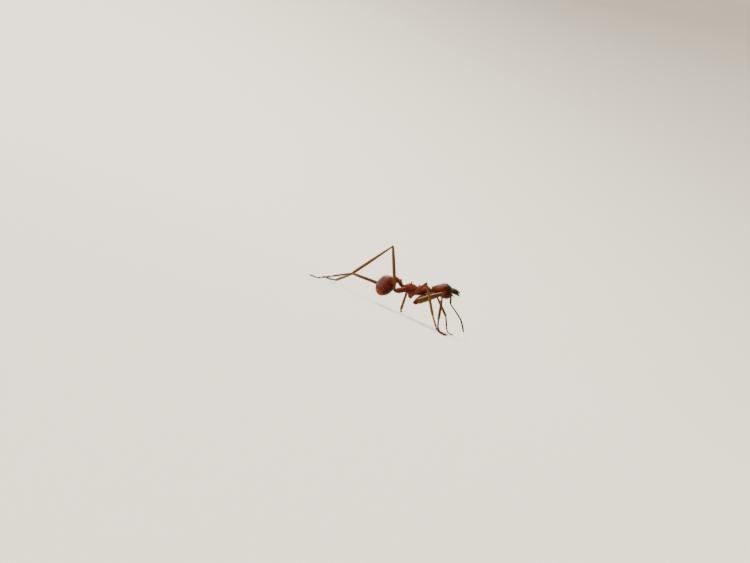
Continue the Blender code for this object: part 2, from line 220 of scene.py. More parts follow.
def skin(grid, tone=0.5, finish=0, tile=(0, 1), hairy=1.0, towards=1, bloom=0.0):
    """One closed skin: points, faces, values at each point, unwrap at each corner and finish number."""
    rows, cols = grid.shape[:2]
    lie = np.gradient(grid, axis=0) * towards
    lie /= np.maximum(np.linalg.norm(lie, axis=-1, keepdims=True), 1e-9)
    values = {"tone": tone, "hairy": hairy, "bloom": bloom}
    kept = {name: np.broadcast_to(value, (rows, cols)) for name, value in values.items()}
    kept |= {"lie": lie, "place": grid}
    kept = {
        n: np.concatenate([g[0, :1], g[1:-1].reshape(-1, *g.shape[2:]), g[-1, :1]]) for n, g in kept.items()
    }
    fan = np.roll(grid, -1, 1)
    middle = grid.mean((0, 1))
    inner = (np.cross(grid[:-1] - middle, fan[:-1] - middle) * (grid[1:] - middle)).sum()
    last = (rows - 2) * cols + 1

    def number(i, j):
        return 0 if i == 0 else last if i == rows - 1 else 1 + (i - 1) * cols + j % cols

    faces, unwrap = [], []
    for i in range(rows - 1):
        for j in range(cols):
            loop = [(i, j), (i, j + 1), (i + 1, j + 1), (i + 1, j)]
            if i == 0:
                loop.pop(1)
            elif i == rows - 2:
                loop.pop(2)
            if inner < 0:
                loop.reverse()
            faces.append([number(*corner) for corner in loop])
            unwrap += [((tile[0] + b / cols) / tile[1], a / (rows - 1)) for a, b in loop]
    return kept.pop("place"), faces, kept, unwrap, finish


def piece(name, skins, materials, nodes=()):
    """A finished object from closed skins: in metres, smooth, and riding on the ant's one body."""
    points, faces, unwrap, finishes = [], [], [], []
    values = {"tone": [], "bloom": [], "hairy": [], "lie": []}
    for p, f, kept, corners, finish in skins:
        start = len(points)
        points += list((p + ANT_TO_PART) * MM)
        faces += [[start + i for i in face] for face in f]
        for key in values:
            values[key].append(kept[key])
        unwrap += corners
        finishes += [finish] * len(f)
    mesh = bpy.data.meshes.new(name)
    mesh.from_pydata(points, [], faces)
    for material in materials:
        mesh.materials.append(material)
    mesh.polygons.foreach_set("material_index", finishes)
    for key, rows in values.items():
        store(mesh, key, np.concatenate(rows))
    lay = mesh.uv_layers.new(name="lay")
    lay.data.foreach_set("uv", np.array(unwrap, np.float32).ravel())
    mesh.shade_smooth()
    mesh.update()
    made = linked(name, mesh)
    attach(made, "root")
    if nodes:
        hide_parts(*nodes)
    return made


BLOTCHES, GRAINS = (1.6, 3.0, 0.60), (11, 4.0, 0.65)  # (how many on a millimetre, detail, roughness)
GRAIN_SHARE = 0.7  # how strongly the grains mottle the colour, beside the blotches
PAINTED_FOLD_SHADE, FOLD_RANGE = 0.16, (0.42, 0.58)  # painted shade that darkens the hollows and painted light that lightens the edges, by how pointed the surface is
ROUGH_SPREAD = 0.12
NET_DEPTH, GRAIN_DEPTH = 0.16, 0.02  # a share of the net's cell, and millimetres
COAT_ROUGHNESS = 0.22


def fill(node, **inputs):
    """Gives inputs of a node their values, or joins the sockets of other nodes to them."""
    for key, value in inputs.items():
        socket = node.inputs[int(key[1:])] if key[0] == "_" else node.inputs[key.replace("_", " ")]
        if isinstance(value, bpy.types.NodeSocket):
            node.id_data.links.new(value, socket)
        else:
            socket.default_value = value
    return node


def node_adder(tree):
    """A short way to add a node to a tree: its settings, then its inputs."""

    def add(kind, settings=None, **inputs):
        made = tree.nodes.new(kind)
        for key, value in (settings or {}).items():
            setattr(made, key, value)
        return fill(made, **inputs)

    return add


def cuticle(
    name, colours, roughness, cell=0.05, net=0.5, mottle=0.35, coat=0.0, gloss=0.08, bloom=(104, 76, 72),
):
    """Hard cuticle: colours run from light to dark by the tone, with painted shade in the hollows and painted
    light on the edges, and mixed towards the bloom colour by its mask: dull bloom together with painted sheen
    and painted highlights. Mottling and a fine net in relief."""
    made = bpy.data.materials.new(name)
    made.use_nodes = True
    add = node_adder(made.node_tree)

    def maths(operation, a, b):
        return add("ShaderNodeMath", {"operation": operation}, _0=a, _1=b).outputs[0]

    def value_of(key):
        return add("ShaderNodeAttribute", {"attribute_name": key}).outputs["Fac"]

    place = add("ShaderNodeTexCoord").outputs["Object"]
    blotches, grain = (
        add("ShaderNodeTexNoise", Vector=place, Scale=many / MM, Detail=detail, Roughness=rough).outputs["Fac"]
        for many, detail, rough in (BLOTCHES, GRAINS)
    )
    cells = add("ShaderNodeTexVoronoi", {"feature": "DISTANCE_TO_EDGE"}, Vector=place, Scale=1 / (cell * MM))
    shade = value_of("tone")
    for texture, strength in ((blotches, mottle), (grain, mottle * GRAIN_SHARE)):
        shade = maths("ADD", shade, maths("MULTIPLY", maths("SUBTRACT", texture, 0.5), strength))
    painted_folds = add("ShaderNodeMapRange", Value=add("ShaderNodeNewGeometry").outputs["Pointiness"],
                From_Min=FOLD_RANGE[0], From_Max=FOLD_RANGE[1], To_Min=PAINTED_FOLD_SHADE, To_Max=-PAINTED_FOLD_SHADE)
    ramp = add("ShaderNodeValToRGB", Fac=maths("ADD", shade, painted_folds.outputs["Result"]))
    ramp.color_ramp.interpolation = "EASE"
    while len(ramp.color_ramp.elements) < len(colours):
        ramp.color_ramp.elements.new(0.5)
    for i, (element, colour) in enumerate(zip(ramp.color_ramp.elements, colours)):
        element.position = i / (len(colours) - 1)
        element.color = (*linear(*colour), 1.0)
    # the bloom colour mixed in here is a dull bloom together with painted sheen and painted highlights
    dusted = add("ShaderNodeMix", {"data_type": "RGBA"}, Factor=value_of("bloom"), _6=ramp.outputs["Color"],
                 _7=(*linear(*bloom), 1.0))
    flat_cell = maths("MINIMUM", maths("MULTIPLY", cells.outputs["Distance"], 3.0), 1.0)
    netting = add("ShaderNodeBump", Strength=net, Distance=cell * NET_DEPTH * MM, Height=flat_cell)
    uneven = add("ShaderNodeBump", Strength=0.45, Distance=GRAIN_DEPTH * MM, Height=grain,
                 Normal=netting.outputs["Normal"])
    rough = maths("ADD", maths("MULTIPLY", grain, 2 * ROUGH_SPREAD), roughness - ROUGH_SPREAD)
    fill(made.node_tree.nodes["Principled BSDF"], Base_Color=dusted.outputs[2], Roughness=rough,
         Normal=uneven.outputs["Normal"], Specular_IOR_Level=gloss, Coat_Weight=coat,
         Coat_Roughness=COAT_ROUGHNESS)
    return made


THORAX_STATIONS = (  # (x, z, half width, half depth)
    (-2.24, 3.04, 0.00, 0.00),
    (-2.20, 3.05, 0.24, 0.22),
    (-2.00, 3.08, 0.41, 0.41),
    (-1.55, 3.17, 0.50, 0.61),
    (-1.05, 3.25, 0.50, 0.67),
    (-0.62, 3.29, 0.48, 0.58),
    (-0.18, 3.51, 0.61, 0.66),
    (0.32, 3.74, 0.76, 0.63),
    (0.72, 3.90, 0.62, 0.47),
    (0.98, 3.97, 0.36, 0.29),
    (1.40, 4.14, 0.26, 0.22),
    (1.44, 4.15, 0.00, 0.00),
)
THORAX_SEAMS = (  # (line over the left half, half width, height)
    (((-0.04, 0.0, 4.22), (0.00, 0.36, 4.14), (0.24, 0.70, 3.76), (0.40, 0.66, 3.34)), 0.045, -0.050),
    (((-0.60, 0.0, 3.88), (-0.64, 0.34, 3.70), (-0.62, 0.47, 3.30), (-0.68, 0.36, 2.84)), 0.060, -0.060),
    (((-0.60, 0.47, 3.34), (-0.16, 0.60, 3.42), (0.20, 0.74, 3.52)), 0.035, -0.035),
    (((-1.02, 0.48, 2.84), (-1.46, 0.50, 2.92), (-1.92, 0.42, 2.98)), 0.035, -0.030),
    (((0.06, 0.30, 4.32), (-0.34, 0.30, 4.02)), 0.110, 0.050),
    (((-0.86, 0.20, 3.84), (-1.40, 0.26, 3.74)), 0.080, 0.040),
    (((0.84, 0.0, 4.36), (0.86, 0.44, 3.98), (0.80, 0.40, 3.66)), 0.050, -0.030),
)
THORAX_LUMPS = (  # (centre on the left half, spread, height)
    ((0.20, 0.44, 4.24), 0.18, 0.060),
    ((-0.36, 0.30, 3.98), 0.14, 0.040),
    ((-1.38, 0.26, 3.72), 0.18, 0.060),
    ((0.52, 0.66, 3.42), 0.13, 0.060),
    ((-1.78, 0.44, 2.84), 0.20, 0.060),
    ((-1.34, 0.50, 3.30), 0.10, 0.030),
    ((-1.34, 0.52, 3.30), 0.05, -0.060),
    ((0.40, 0.44, 3.16), 0.24, 0.050),
    ((-0.80, 0.40, 2.80), 0.22, 0.060),
    ((-1.80, 0.36, 2.76), 0.20, 0.040),
)
THORAX_SPINES = (  # (foot, bend, tip) on the left side
    ((0.20, 0.42, 4.12), (0.21, 0.52, 4.44), (0.27, 0.61, 4.74)),
    ((-0.36, 0.29, 3.80), (-0.41, 0.34, 4.06), (-0.43, 0.39, 4.25)),
    ((-1.36, 0.25, 3.58), (-1.40, 0.31, 3.92), (-1.50, 0.40, 4.24)),
)
SPINE_SHAPE = ((0.02, 0.125), (0.20, 0.112), (0.50, 0.072), (0.80, 0.038), (0.97, 0.016))
SPINE_TONES = (0.45, 0.12)


def relief_of(lines, lumps):
    """A rule for carved() from a table of lines and one of lumps."""
    return lambda p: sum(ridge(p, *line) for line in lines) + sum(mound(p, *lump) for lump in lumps)


def scaled(shape, size):
    return [(s, r * size) for s, r in shape]


def graded(grid, ends):
    """A value that runs evenly from the first ring of a grid to the last."""
    return np.linspace(*ends, len(grid))[:, None]


def spine(foot, bend, tip, size=1.0):
    """A sharp curved spine, paler towards its tip: partly the tip's own paler colour, partly a painted
    highlight.
    """
    grid = limb_rings(rounded((foot, bend, tip)), scaled(SPINE_SHAPE, size), 14, 26)
    return skin(grid, graded(grid, SPINE_TONES), hairy=0.3)


def mirrored(points, side):
    return np.array(points, float) * (1, side, 1)


thorax_red = cuticle(
    "thorax_red", ((106, 50, 26), (78, 25, 9), (54, 11, 4), (26, 6, 4)), 0.36, bloom=(80, 44, 38),
)
grid = carved(body_rings(THORAX_STATIONS, 150, 170), relief_of(THORAX_SEAMS, THORAX_LUMPS))
middle = through([(x, z) for x, z, _, _ in THORAX_STATIONS], grid[..., 0].ravel())
height = grid[..., 2] - middle.reshape(grid.shape[:2])
# Painted light: lighter on top and darker below, by height above the trunk's middle line.
thorax_tone = 0.52 - 0.30 * np.clip(height / 0.6, -0.5, 1)
dust_and_sheen_mask = 0.6 * np.clip((grid[..., 0] + 0.10) / 0.4, 0, 1) * np.clip(height / 0.3, 0, 1)  # the pronotum's top: dull bloom and painted sheen
skins = [skin(grid, thorax_tone, towards=-1, bloom=dust_and_sheen_mask)]
for foot, bend, tip in THORAX_SPINES:
    for _, side in BOTH_SIDES:
        skins.append(spine(*(mirrored(p, side) for p in (foot, bend, tip))))
piece("thorax_plates", skins, [thorax_red], ["mesosoma"])

# ---------------- Waist
# Two small knots of orange-brown cuticle between the trunk and the gaster, the petiole and the postpetiole.
# Each is a closed shell with a narrow neck that turns in the socket of the next, and a crest with two teeth.

PETIOLE_STATIONS = (
    (-1.98, 3.04, 0.00, 0.00),
    (-2.02, 3.06, 0.20, 0.18),
    (-2.38, 3.24, 0.23, 0.23),
    (-2.66, 3.46, 0.34, 0.37),
    (-2.94, 3.54, 0.28, 0.27),
    (-3.24, 3.57, 0.22, 0.20),
    (-3.27, 3.57, 0.00, 0.00),
)
EGG_SHAPE = (
    (0.00, 0.00), (0.015, 0.22), (0.10, 0.56), (0.30, 0.90), (0.52, 1.00),
    (0.76, 0.87), (0.93, 0.52), (0.99, 0.22), (1.00, 0.00),
)
PETIOLE_LINES = (  # a groove round the socket and a keel below
    (((-2.16, 0.0, 3.36), (-2.16, 0.24, 3.12), (-2.14, 0.0, 2.90)), 0.05, -0.03),
    (((-2.30, 0.0, 2.98), (-2.70, 0.0, 3.06)), 0.06, 0.04),
)
PETIOLE_LUMPS = (((-2.66, 0.15, 3.84), 0.09, 0.09), ((-2.50, 0.25, 3.34), 0.05, -0.03))  # teeth and pits
POSTPETIOLE = ((-3.34, 0.0, 3.46), 30.0, (0.92, 1.00, 0.90))  # (centre, pitch, (length, width, height))
POSTPETIOLE_LINES = ((((-0.24, 0.0, 0.40), (-0.24, 0.47, 0.0), (-0.24, 0.0, -0.40)), 0.05, -0.03),)
POSTPETIOLE_LUMPS = (((0.02, 0.18, 0.41), 0.09, 0.06), ((0.06, 0.46, 0.06), 0.05, -0.02))


def stations_of(rows, size):
    """Stations for a body of (length, width, height), from (share along, share of width, of height, lift)."""
    length, width, height = size
    return [((s - 0.5) * length, lift, wide * width / 2, tall * height / 2) for s, wide, tall, lift in rows]


def egg_rings(size, around, along, tip_lift=0.0):
    """A grid for an egg of (length, width, height) with its blunt end at +X."""
    rows = [(s, full, full, tip_lift * (1 - s) ** 2) for s, full in EGG_SHAPE]
    return body_rings(stations_of(rows, size), around, along)


waist_brown = cuticle("waist_brown", ((118, 56, 20), (88, 34, 8), (62, 19, 3), (30, 8, 3)), 0.36)
grid = carved(body_rings(PETIOLE_STATIONS, 90, 70), relief_of(PETIOLE_LINES, PETIOLE_LUMPS))
# Painted light: each knot lighter towards its top and darker below.
shell = skin(grid, 0.54 - 0.3 * (grid[..., 2] - 3.4), towards=-1)
piece("petiole_knot", [shell], [waist_brown], ["petiole"])
grid = carved(egg_rings(POSTPETIOLE[2], 100, 60), relief_of(POSTPETIOLE_LINES, POSTPETIOLE_LUMPS))
shell = skin(pitched(grid, *POSTPETIOLE[:2]), 0.54 - 0.35 * grid[..., 2], towards=-1)
piece("postpetiole_knot", [shell], [waist_brown], ["postpetiole"])

# ---------------- Gaster
# The egg-shaped hind body hangs from the waist. One big dark maroon plate covers most of its back, and three
# short plates slide one under the next at its orange-brown tip, with matching plates on the belly.

GASTER = ((-4.10, 0.0, 2.36), 84.0, (2.68, 2.26, 2.10))  # (centre, pitch, (length, width, height))
GASTER_TIP_LIFT = 0.16
BACK_PLATES = (-0.50, -0.86, -1.10)  # where each plate of the back ends, along the gaster from its middle
BELLY_PLATES = (-0.30, -0.70, -1.00)
SIDE_SEAM = -0.34  # height of the seam between back and belly plates, as a share of the half height
SEAM_WIDTH, SEAM_DEPTH, SEAM_END = 0.03, 0.030, 1.0
BACK_LIP, BELLY_LIP, LIP_REACH = 0.022, 0.018, 0.12  # how high and how far each plate's edge stands up
GASTER_LUMPS = (((0.82, 0.55, 0.50), 0.30, 0.035), ((-1.34, 0.0, 0.16), 0.07, -0.05))  # shoulders and vent
GASTER_TONES = (  # (place along the gaster from its middle, tone)
    (-1.30, 0.15), (-1.00, 0.20), (-0.70, 0.44), (-0.30, 0.70), (0.40, 0.68), (0.95, 0.42), (1.30, 0.26),
)


def plate_steps(x, ends, lip):
    """The hind edge of each plate stands a little over the next one."""
    found = np.zeros_like(x)
    for end in ends:
        past = x - end
        found += lip * np.where(past > 0, np.exp(-past / LIP_REACH), -np.exp(past / (0.35 * LIP_REACH)))
    return found


def gaster_relief(p):
    x, above = p[..., 0], p[..., 2] / (GASTER[2][2] / 2) - SIDE_SEAM
    back = 1 / (1 + np.exp(-above / 0.02))
    steps = back * plate_steps(x, BACK_PLATES, BACK_LIP) + (1 - back) * plate_steps(x, BELLY_PLATES, BELLY_LIP)
    seam = -SEAM_DEPTH * np.exp(-(above / SEAM_WIDTH) ** 2) * (x < SEAM_END)
    return steps + seam + relief_of((), GASTER_LUMPS)(p)


gaster_maroon = cuticle(
    "gaster_maroon", ((100, 46, 12), (80, 24, 7), (62, 6, 10), (32, 2, 4)), 0.34,
    cell=0.07, net=0.25, mottle=0.28, bloom=(80, 54, 52),
)
grid = carved(egg_rings(GASTER[2], 190, 170, GASTER_TIP_LIFT), gaster_relief)
x, z = grid[..., 0], grid[..., 2]
tone = through(GASTER_TONES, x.ravel()).reshape(x.shape)
tone += 0.36 * np.clip(-z / 0.8, 0, 1) * np.exp(-(((x + 0.50) / 0.50) ** 2))  # painted shade: the belly darker below its middle
dust_and_sheen_mask = 0.85 * np.clip(z / 0.7, 0, 1) * np.clip((x + 0.75) / 0.5, 0, 1)  # the back: dull bloom and painted sheen
# Painted light: lighter towards the back and darker towards the belly.
shell = skin(pitched(grid, *GASTER[:2]), tone - 0.16 * z, towards=-1, bloom=dust_and_sheen_mask)
piece("gaster_plates", [shell], [gaster_maroon], ["gaster"])

# ---------------- Head
# A heart-shaped capsule of thick cuticle, red-brown on top and dark at the mouth. The notch behind leaves a
# lobe on each side for the jaw muscles, two lobes in front shelter the feelers, and a spine ends each corner.

HEAD_CENTRE = (2.20, 0.0, 4.635)
HEAD_PITCH = 15.0
HEAD_SIZE = (2.70, 2.70, 1.82)
NOTCH_DEPTH, NOTCH_SPREAD = 0.42, 0.42
NOTCH_REACH = 0.55  # share of the head's length that the notch changes
HEAD_SHAPE = (  # (share along, share of half width, share of half depth, lift)
    (0.00, 0.00, 0.00, -0.15),
    (0.02, 0.42, 0.30, -0.15),
    (0.12, 0.82, 0.51, -0.14),
    (0.30, 1.00, 0.72, -0.13),
    (0.46, 0.98, 0.86, -0.09),
    (0.58, 0.92, 0.96, -0.06),
    (0.70, 0.83, 1.00, -0.10),
    (0.80, 0.74, 0.93, -0.14),
    (0.88, 0.65, 0.80, -0.15),
    (0.95, 0.52, 0.58, -0.12),
    (0.99, 0.32, 0.30, -0.08),
    (1.00, 0.00, 0.00, -0.10),
)
EYE_PLACE = (0.80, 0.91, 0.14)
FEELER_SOCKET = (0.88, 0.42, 0.54)
HEAD_SPINE = ((-0.80, 0.58, 0.02), (-1.08, 0.67, 0.16), (-1.34, 0.78, 0.28))
HEAD_LINES = (  # (line over the left half, half width, height), in the head's own frame
    (((-0.86, 0.0, 0.36), (-0.40, 0.0, 0.58), (0.20, 0.0, 0.78)), 0.10, -0.075),
    (((0.06, 0.44, 0.68), (0.44, 0.33, 0.76), (0.86, 0.24, 0.62)), 0.070, 0.060),
    (((0.60, 0.0, 0.80), (0.98, 0.0, 0.56)), 0.09, -0.040),
    (((0.96, 0.10, 0.58), (1.08, 0.34, 0.42), (1.20, 0.54, 0.18)), 0.035, -0.045),
    (((1.06, 0.16, 0.48), (1.26, 0.18, 0.24)), 0.050, 0.040),
    (((0.76, 0.66, 0.46), (0.40, 0.84, 0.50), (-0.10, 0.96, 0.40)), 0.060, 0.035),
    (((1.02, 0.70, -0.10), (0.40, 1.14, -0.18), (-0.30, 1.26, -0.28)), 0.050, -0.020),
    (((1.14, 0.0, -0.62), (0.40, 0.0, -0.90), (-0.60, 0.0, -0.74)), 0.045, -0.045),
    (((1.20, 0.44, -0.40), (1.10, 0.30, -0.62), (0.90, 0.20, -0.78)), 0.050, 0.045),
)
HEAD_LUMPS = (  # (centre on the left half, spread, height)
    (FEELER_SOCKET, 0.17, -0.150),
    ((0.58, 0.30, 0.78), 0.16, 0.035),
    ((-0.50, 0.62, 0.46), 0.40, 0.050),
    ((-0.84, 0.60, 0.14), 0.18, 0.060),
    ((1.10, 0.66, -0.04), 0.14, -0.060),
    ((1.00, 0.78, -0.04), 0.12, 0.045),
    ((1.25, 0.0, 0.04), 0.24, -0.050),
    (EYE_PLACE, 0.30, 0.030),
)


def notched(grid):
    """Presses the middle of the head's back forward, which leaves a lobe on each side."""
    back = np.maximum(0.0, 1 - (grid[..., 0] / HEAD_SIZE[0] + 0.5) / NOTCH_REACH)
    push = NOTCH_DEPTH * back**2 * np.exp(-((grid[..., 1] / NOTCH_SPREAD) ** 2))
    return grid + push[..., None] * (1, 0, 0)


def on_head(p, side=1):
    """From the head's own frame to the ant's, on the left side or, with -1, the right."""
    return pitched(mirrored(p, side), HEAD_CENTRE, HEAD_PITCH)


head_red = cuticle(
    "head_red", ((92, 46, 22), (74, 25, 8), (58, 12, 4), (38, 9, 4)), 0.38, cell=0.055, net=0.6, gloss=0.04,
)
grid = notched(body_rings(stations_of(HEAD_SHAPE, HEAD_SIZE), 220, 170))
grid = carved(grid, relief_of(HEAD_LINES, HEAD_LUMPS))
x, z = grid[..., 0], grid[..., 2]
front = np.clip((x - 0.14) / 0.65, 0, 1)  # dark towards the mouth, most of all on top
# Painted light: besides the darker front, the top is a little lighter and the underside a little darker.
tone = 0.50 - 0.12 * np.clip(z / 0.8, -0.5, 1) + (0.60 + 0.35 * np.clip(z / 0.6, -1, 1)) * front
skins = [skin(on_head(grid), tone, hairy=1 - 0.5 * front)]  # its hairs lean forward, the shortest on the face
for _, side in BOTH_SIDES:
    skins.append(spine(*(on_head(p, side) for p in HEAD_SPINE), size=1.1))
piece("head_capsule", skins, [head_red], ["head"])

# ---------------- Eyes
# Compound eyes: a near-black dome on each side of the head, of some hundreds of six-sided lenses that each
# bulge a little. The dome sits in a low rim with about half of it inside the head.

EYE_RADII = (0.20, 0.16, 0.22)
EYE_INSET = 0.93  # size of the dome under the lenses
LENS_STEPS = ((0.035, 0.84), (0.030, 0.60), (0.012, 0.30))  # (rise, width left) of each step of a lens


def tree_with(name, **inputs):
    """An empty tree of geometry nodes with named inputs, a short way to add its nodes, and one to end it with
    smooth shading and the material."""
    tree = bpy.data.node_groups.new(name, "GeometryNodeTree")
    tree.interface.new_socket("Geometry", in_out="INPUT", socket_type="NodeSocketGeometry")
    for label, (kind, value) in inputs.items():
        socket = tree.interface.new_socket(label, in_out="INPUT", socket_type="NodeSocket" + kind)
        if value is not None:
            socket.default_value = value
    tree.interface.new_socket("Material", in_out="INPUT", socket_type="NodeSocketMaterial")
    tree.interface.new_socket("Geometry", in_out="OUTPUT", socket_type="NodeSocketGeometry")
    given, result = tree.nodes.new("NodeGroupInput").outputs, tree.nodes.new("NodeGroupOutput")
    add = node_adder(tree)

    def end_with(last):
        soft = add("GeometryNodeSetShadeSmooth", Geometry=last.outputs[0])
        stained = add("GeometryNodeSetMaterial", Geometry=soft.outputs[0], Material=given["Material"])
        fill(result, Geometry=stained.outputs[0])

    return tree, given, add, end_with


def grown(name, base, tree, **values):
    """Runs a tree on a copy of base with the named inputs set, and keeps the result as a plain mesh."""
    host = linked("host", base)
    step = host.modifiers.new("grow", "NODES")
    step.node_group = tree
    ids = {item.name: item.identifier for item in tree.interface.items_tree if item.in_out == "INPUT"}
    for label, value in values.items():
        step[ids[label.replace("_", " ")]] = value
    graph = bpy.context.evaluated_depsgraph_get()
    mesh = bpy.data.meshes.new_from_object(host.evaluated_get(graph))
    bpy.data.objects.remove(host, do_unlink=True)
    mesh.name = name
    return linked(name, mesh)


lens_tree, given, add, end_with = tree_with("compound_eye", Radii=("Vector", (1, 1, 1)), Fineness=("Int", 4))
ball = add("GeometryNodeMeshIcoSphere", Radius=1.0, Subdivisions=given["Fineness"])
shape = add("GeometryNodeDualMesh", Mesh=ball.outputs["Mesh"])
last, kept = shape.outputs[0], None
for rise, left in LENS_STEPS:
    extras = {} if kept is None else {"Selection": kept}
    drawn = add("GeometryNodeExtrudeMesh", {"mode": "FACES"}, Mesh=last, Offset_Scale=rise, Individual=True,
                **extras)
    last, kept = drawn.outputs["Mesh"], drawn.outputs["Top"]
    shrunk = add("GeometryNodeScaleElements", {"domain": "FACE"}, Geometry=last, Selection=kept, Scale=left)
    last = shrunk.outputs["Geometry"]
sized = add("GeometryNodeTransform", Geometry=last, Scale=given["Radii"])
end_with(sized)

eye_black = cuticle(
    "eye_black", ((40, 22, 14), (22, 12, 8), (9, 5, 4)), 0.26, cell=0.4, net=0.1, mottle=0.1, coat=0.05,
)
turn = Matrix.Rotation(math.radians(-HEAD_PITCH), 4, "Y")
for name, side in BOTH_SIDES:
    eye = grown(f"eye_{name}_lenses", bpy.data.meshes.new("empty"), lens_tree,
                Radii=[r * EYE_INSET * MM for r in EYE_RADII], Fineness=4, Material=eye_black)
    place = Vector(on_head(EYE_PLACE, side) + ANT_TO_PART) * MM
    eye.data.transform(Matrix.Translation(place) @ turn)
    store(eye.data, "tone", [0.6] * len(eye.data.vertices))
    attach(eye, "root")
    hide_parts(f"eye_{name}")

# ---------------- Jaws and mouth
# Two curved blades of very dark, hard cuticle, hinged low on the head's front and parted as if round the edge
# of a leaf. The inner edge of each is a saw. Below them lie the soft lobes of the mouth with their thin palps.

JAW_ROOT, JAW_POINT = (2.84, 0.61, 4.84), (4.44, 0.34, 5.04)  # the left jaw
JAW_SKEW = 0.19  # how far the left jaw's point lies above the pair's middle and the right one's below it
JAW_TILT = math.radians(32)  # the saw edges hang lower than the outer edges
JAW_SHAPE = (  # (way along, outer edge, inner edge, half thickness), with the midline of the head at +
    (0.00, -0.02, 0.06, 0.00),
    (0.03, -0.12, 0.16, 0.16),
    (0.20, -0.25, 0.20, 0.28),
    (0.50, -0.38, 0.20, 0.30),
    (0.80, -0.42, 0.26, 0.27),
    (1.05, -0.37, 0.27, 0.22),
    (1.30, -0.26, 0.24, 0.155),
    (1.50, -0.11, 0.20, 0.085),
    (1.62, 0.03, 0.15, 0.045),
    (1.66, 0.09, 0.09, 0.000),
)
JAW_BOW, JAW_BOW_END = 0.10, 1.62  # how far the blade arches upwards, and where that ends
JAW_EDGE = 0.55  # thickness of the inner edge as a share of the outer one's
SMALL_TOOTH = 0.7
JAW_TEETH = 11
JAW_TOOTH = (0.045, 0.13)  # length of the teeth, from the jaw's root to its point
SAW_FROM, SAW_TO = 0.80, 1.60


def jaw_place(p, side):
    """From a jaw's own frame (along, inward, up) to the ant's."""
    along = unit(np.array(JAW_POINT) + (0, 0, JAW_SKEW * side) - np.array(JAW_ROOT))
    level = unit(np.cross(along, (0, 0, 1.0)))
    upright = np.cross(level, along)
    inward = math.cos(JAW_TILT) * level - math.sin(JAW_TILT) * upright
    turned = np.stack([along, inward, np.cross(inward, along)])
    return mirrored(np.asarray(p) @ turned + np.array(JAW_ROOT), side)


def jaw_bow(x):
    return JAW_BOW * np.sin(math.pi * np.clip(x / JAW_BOW_END, 0, 1))


def jaw_rings(around=48, along=90):
    x, turn = JAW_SHAPE[-1][0] * eased(along), circle(around)[None]
    outer, inner, thick = through(JAW_SHAPE, x).T[:, :, None]
    middle, half = (outer + inner) / 2, (inner - outer) / 2
    thick = thick * (0.5 * (1 - np.cos(turn)) * (1 - JAW_EDGE) + JAW_EDGE)
    rise = jaw_bow(x)[:, None] + thick * np.sin(turn)
    return np.stack([x[:, None] + 0 * turn, middle + half * np.cos(turn), rise], -1)


copies_tree, given, add, end_with = tree_with("copies_on_points", Copy=("Object", None))
shape = add("GeometryNodeObjectInfo", Object=given["Copy"])


def attribute(kind, name):
    return add("GeometryNodeInputNamedAttribute", {"data_type": kind}, Name=name).outputs["Attribute"]


turned = add("FunctionNodeAxesToRotation", {"primary_axis": "X", "secondary_axis": "Z"},
             Primary_Axis=attribute("FLOAT_VECTOR", "facing"), Secondary_Axis=attribute("FLOAT_VECTOR", "top"))
placed = add("GeometryNodeInstanceOnPoints", Points=given["Geometry"], Instance=shape.outputs["Geometry"],
             Rotation=turned.outputs[0], Scale=attribute("FLOAT_VECTOR", "size"))
real = add("GeometryNodeRealizeInstances", Geometry=placed.outputs[0])
end_with(real)


def forget(mesh, *keys):
    """Removes values that a mesh no longer needs."""
    for key in keys:
        if key in mesh.attributes:
            mesh.attributes.remove(mesh.attributes[key])


def copies(name, copy, material, places, facings, tops, sizes):
    """Copies of one small shape, made along X, at each place in the ant's frame, as a plain mesh."""
    marks = bpy.data.meshes.new(name + "_marks")
    marks.from_pydata(list((np.array(places) + ANT_TO_PART) * MM), [], [])
    for key, rows in (("facing", facings), ("top", tops), ("size", sizes)):
        store(marks, key, np.broadcast_to(rows, (len(places), 3)))
    made = grown(name, marks, copies_tree, Copy=copy, Material=material)
    forget(made.data, "facing", "top", "size")
    return made


def template(name, grid, tone=0.5):
    """A small shape at the origin, in metres, to be copied and then thrown away."""
    p, faces, kept, _, _ = skin(grid, tone)
    mesh = bpy.data.meshes.new(name)
    mesh.from_pydata(list(p * MM), [], faces)
    store(mesh, "tone", kept["tone"])
    return linked(name, mesh)


def joined(base, other):
    """Adds another object's mesh to base and throws the other away."""
    with bpy.context.temp_override(active_object=base, selected_editable_objects=[base, other]):
        bpy.ops.object.join()
    return base


